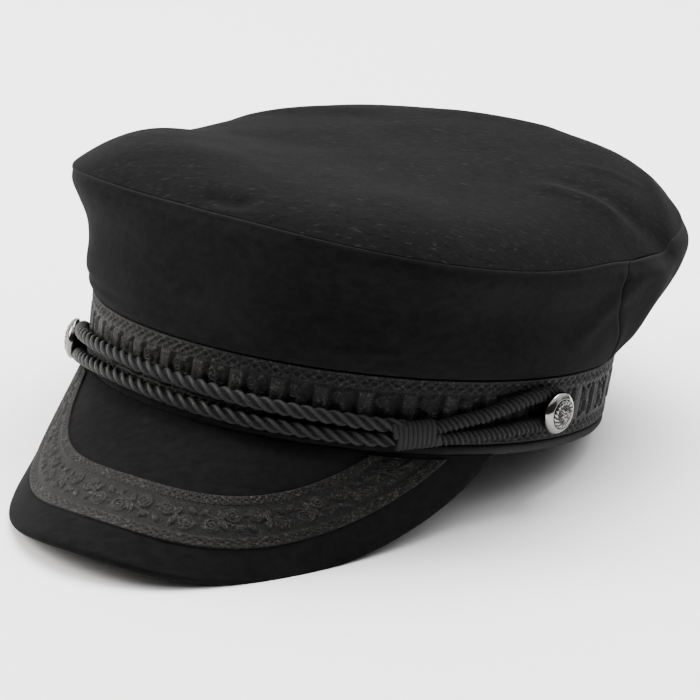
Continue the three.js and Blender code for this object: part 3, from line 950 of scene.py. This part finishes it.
def wool(name, dark, light, fuzz, fleck):
    """Milled wool: a short dense nap, with flecks of loose fibre that lie across the cap, and
    painted light where the raised value asks for it: a painted highlight along the top welt and
    painted light from the floor on the band's rim.
    """
    cloth = Finish(name)
    nap = cloth.noise(1100, detail=3, distortion=0.4)
    felt = cloth.noise(380, detail=4, stretch=1.6, distortion=0.3)
    cloud = cloth.noise(20, detail=3)
    flecks = cloth.noise(900, detail=1, stretch=3.2, distortion=0.25)
    tone = cloth.sum(cloth.sum(felt, 0.6, "MULTIPLY"), cloth.sum(cloud, 0.4, "MULTIPLY"))
    colour = cloth.ramp(tone, [(0.40, grey(dark)), (0.60, grey(light))])
    deep = cloth.ramp(flecks, [(0.30, grey(fleck)), (0.36, grey(0))])
    colour = cloth.blend(deep, colour, grey(dark * 0.2))
    bright = cloth.ramp(flecks, [(0.655, grey(0)), (0.71, grey(fleck))])
    colour = cloth.blend(bright, colour, grey(light * 3.0, 0.02))
    # Painted light: the raised value lightens the colour along the top welt and on the band's rim
    raised = cloth.add("ShaderNodeAttribute", attribute_name="raised").outputs["Fac"]
    cloth.set(Base_Color=cloth.blend(raised, colour, grey(light * 5)), Roughness=0.97)
    cloth.shader.inputs["Specular IOR Level"].default_value = 0.04
    cloth.shader.inputs["Sheen Weight"].default_value = 1.0
    cloth.shader.inputs["Sheen Roughness"].default_value = 0.6
    cloth.shader.inputs["Sheen Tint"].default_value = (fuzz, fuzz, fuzz * 1.06, 1)
    low = cloth.bump(felt, strength=0.3, distance=0.0006)
    cloth.set(Normal=cloth.bump(nap, strength=0.5, distance=0.0002, below=low))
    return cloth.material


def braid(name, low, high, glint, warm, gloss, shine):
    """Woven braid: fine ribs and threads in its own UV map, with painted highlights where its
    pattern stands out and painted shade in its hollows, and painted glints, bright points where
    single threads catch the light."""
    cloth = Finish(name)
    place = cloth.coords.outputs["UV"]
    ribs = cloth.add("ShaderNodeTexWave", {
        "Vector": place, "Scale": 0.42, "Distortion": 1.6, "Detail": 2.0, "Detail Scale": 1.5,
    }, wave_type="BANDS", bands_direction="X")
    threads = cloth.add("ShaderNodeTexWave", {
        "Vector": place, "Scale": 0.5, "Distortion": 1.2, "Detail": 1.0,
    }, wave_type="BANDS", bands_direction="Y")
    weave = cloth.sum(ribs.outputs["Fac"], threads.outputs["Fac"], "MULTIPLY")
    raised = cloth.add("ShaderNodeAttribute", attribute_name="raised").outputs["Fac"]
    grain = cloth.noise(1400, detail=2)
    curls = cloth.noise(560, detail=2, distortion=2.0)
    # Painted shade and highlights: the thread's height, kept as the raised value, darkens the
    # hollows and lightens what stands out
    tone = cloth.sum(cloth.sum(raised, 0.7, "MULTIPLY"), cloth.sum(weave, 0.2, "MULTIPLY"))
    tone = cloth.sum(tone, cloth.sum(cloth.sum(curls, 0.45, "SUBTRACT"), 2.2, "MULTIPLY"))
    colour = cloth.ramp(tone, [
        (0.0, grey(low * 0.3, warm)), (0.3, grey(low, warm)), (0.85, grey(high, warm)),
    ])
    # Painted glints on the raised threads
    sparks = cloth.noise(800, detail=1, distortion=1.5)
    caught = cloth.sum(cloth.ramp(sparks, [(0.58, grey(0)), (0.68, grey(1))]), raised, "MULTIPLY")
    cloth.set(Base_Color=cloth.blend(caught, colour, grey(glint, warm)), Roughness=gloss)
    cloth.shader.inputs["Specular IOR Level"].default_value = shine
    cloth.shader.inputs["Sheen Weight"].default_value = 1.0
    cloth.shader.inputs["Sheen Roughness"].default_value = 0.6
    cloth.shader.inputs["Sheen Tint"].default_value = (*grey(high, warm), 1)
    low_bump = cloth.bump(weave, strength=0.5, distance=0.0003)
    cloth.set(Normal=cloth.bump(grain, strength=0.6, distance=0.0003, below=low_bump))
    return cloth.material


def cord_silk():
    """Silky filaments that run along each strand, with a slight twist, and dull cores with painted
    shade, as they lie in the shade between the strands; the knot's coil gets a little of it too.
    """
    silk = Finish("black_silk_cord")
    slant = silk.add("ShaderNodeMapping", {
        "Vector": silk.coords.outputs["UV"], "Scale": (9.0, 0.9, 1.0), "Rotation": (0, 0, 0.12),
    }).outputs["Vector"]
    lines = silk.add("ShaderNodeTexNoise", {
        "Vector": slant, "Scale": 2.2, "Detail": 3.0, "Roughness": 0.65,
    }).outputs["Fac"]
    colour = silk.ramp(lines, [(0.3, grey(0.013)), (0.75, grey(0.030))])
    rough = silk.ramp(lines, [(0.3, grey(0.46)), (0.7, grey(0.3))])
    strand = silk.add("ShaderNodeAttribute", attribute_name="raised").outputs["Fac"]
    # Painted shade: where the raised value is low, as on a core, the colour goes dark and dull
    shade = silk.sum(1, strand, "SUBTRACT")
    silk.set(Base_Color=silk.blend(shade, colour, grey(0.010)))
    silk.set(Roughness=silk.blend(shade, rough, grey(0.9)))
    silk.shader.inputs["Specular IOR Level"].default_value = 0.09
    silk.set(Normal=silk.bump(lines, strength=0.7, distance=0.0003))
    return silk.material


def button_silver():
    """Bright plated metal with darker patina in its low places, and painted shade over the whole of
    a button whose raised value asks for it.
    """
    metal = Finish("polished_silver")
    wear = metal.noise(260, detail=4)
    low = metal.add("ShaderNodeAttribute", attribute_name="raised").outputs["Fac"]
    # Painted shade and patina come in by the raised value; the wear noise varies it a little
    tone = metal.sum(low, metal.sum(wear, 0.06, "MULTIPLY"))
    colour = metal.ramp(tone, [(0.06, grey(0.21, 0.03)), (0.22, grey(0.008))])
    rough = metal.ramp(wear, [(0.35, grey(0.09)), (0.7, grey(0.2))])
    metal.set(Base_Color=colour, Roughness=rough)
    metal.shader.inputs["Metallic"].default_value = 1.0
    metal.set(Normal=metal.bump(wear, strength=0.08, distance=0.0001))
    return metal.material


def aim_camera():
    """The camera, square to the line from where it stands to where it looks, then rolled."""
    back = Vector((
        math.sin(AZIMUTH) * math.cos(ELEVATION),
        -math.cos(AZIMUTH) * math.cos(ELEVATION),
        math.sin(ELEVATION),
    ))
    right = Vector((math.cos(AZIMUTH), math.sin(AZIMUTH), 0))
    up = back.cross(right)
    rolled_right = math.cos(ROLL) * right + math.sin(ROLL) * up
    rolled_up = math.cos(ROLL) * up - math.sin(ROLL) * right
    data = bpy.data.cameras.new("camera")
    data.lens = LENS
    data.sensor_width = SENSOR
    data.shift_x, data.shift_y = SHIFT
    data.clip_end = 20
    camera = bpy.data.objects.new("camera", data)
    turned = Matrix((rolled_right, rolled_up, back)).transposed().to_4x4()
    camera.matrix_world = Matrix.Translation(LOOK_AT + back * DISTANCE) @ turned
    bpy.context.scene.collection.objects.link(camera)
    bpy.context.scene.camera = camera


def soft_light(name, place, size, power, warm=0.0):
    data = bpy.data.lights.new(name, "AREA")
    data.shape = "RECTANGLE"
    data.size, data.size_y = size
    data.energy = power
    data.color = grey(1, warm)
    light = bpy.data.objects.new(name, data)
    light.location = place
    light.rotation_euler = (LAMPS_FACE - Vector(place)).to_track_quat("-Z", "Y").to_euler()
    bpy.context.scene.collection.objects.link(light)


def studio():
    """A pale floor under soft lamps, in a room with dim walls and a bright ceiling."""
    shape = bmesh.new()
    bmesh.ops.create_circle(shape, cap_ends=True, segments=96, radius=FLOOR_RADIUS)
    mesh = bpy.data.meshes.new("floor")
    shape.to_mesh(mesh)
    shape.free()
    floor = bpy.data.objects.new("floor", mesh)
    bpy.context.scene.collection.objects.link(floor)
    paper = Finish("pale_paper")
    paper.set(Base_Color=(0.9, 0.9, 0.9, 1), Roughness=0.8)
    mesh.materials.append(paper.material)
    world = bpy.data.worlds.new("studio")
    world.use_nodes = True
    tree = world.node_tree
    sky = tree.nodes["Background"]
    sky.inputs["Strength"].default_value = ROOM_LIGHT
    where = tree.nodes.new("ShaderNodeTexCoord")
    facing = tree.nodes.new("ShaderNodeVectorMath")
    facing.operation = "DOT_PRODUCT"
    facing.inputs[1].default_value = ROOM_BRIGHT_SIDE
    shade = tree.nodes.new("ShaderNodeValToRGB")
    for element, (position, value) in zip(shade.color_ramp.elements, ROOM_FADE):
        element.position = position
        element.color = (value, value, value, 1)
    tree.links.new(where.outputs["Generated"], facing.inputs[0])
    tree.links.new(facing.outputs["Value"], shade.inputs["Fac"])
    tree.links.new(shade.outputs["Color"], sky.inputs["Color"])
    bpy.context.scene.world = world
    soft_light("top_softbox", (-0.2, 0.5, 1.7), size=(1.6, 1.4), power=90)
    soft_light("left_softbox", (-1.4, -0.6, 0.8), size=(0.7, 1.2), power=42, warm=0.04)
    soft_light("right_softbox", (1.5, 0.5, 0.6), size=(0.8, 1.0), power=2.5)


aim_camera()
studio()

side_wool = wool("black_wool", dark=0.0030, light=0.0056, fuzz=0.010, fleck=0.08)
# The top panel's wool is a darker copy of the side wool: painted shade for the top, which takes the
# most light, with more flecks of lint
top_wool_painted_shade = wool("black_wool_top_painted_shade", dark=0.0018, light=0.0034, fuzz=0.008, fleck=0.9)
band_weave = braid(
    "black_braid", low=0.0030, high=0.0085, glint=0.06, warm=0.03, gloss=0.5, shine=0.12,
)
peak_weave = braid(
    "charcoal_braid", low=0.0045, high=0.0175, glint=0.09, warm=0.06, gloss=0.65, shine=0.12,
)
silk_black = cord_silk()
silver = button_silver()

dress(crown_top(), "crown_top", top_wool_painted_shade)
dress(crown_side("crown_front_wool", True), "crown_side_front", side_wool)
dress(crown_side("crown_back_wool", False), "crown_side_back", side_wool)
dress(head_band(), "head_band", side_wool)
dress(peak_board(), "peak", side_wool)
dress(band_braid(), "band_braid", band_weave)
dress(peak_braid(), "peak_braid", peak_weave)
long_cord = twisted_cord("cord_long_twisted", CORD_LONG, CORD_LONG_LAY, CORD_LONG_STRAND)
short_cord = twisted_cord("cord_short_twisted", CORD_SHORT, CORD_SHORT_LAY, CORD_SHORT_STRAND)
dress(long_cord, "cord_long", silk_black)
dress(short_cord, "cord_short", silk_black)
dress(slide_knot(), "slide_knot", silk_black)
near_button = button("button_left_domed", BUTTON_LEFT, BUTTON_LEFT_STANDOFF, painted_shade=0)
far_button = button(
    "button_right_domed", BUTTON_RIGHT, BUTTON_RIGHT_STANDOFF, painted_shade=BUTTON_RIGHT_PAINTED_SHADE,
)
dress(near_button, "button_left", silver)
dress(far_button, "button_right", silver)
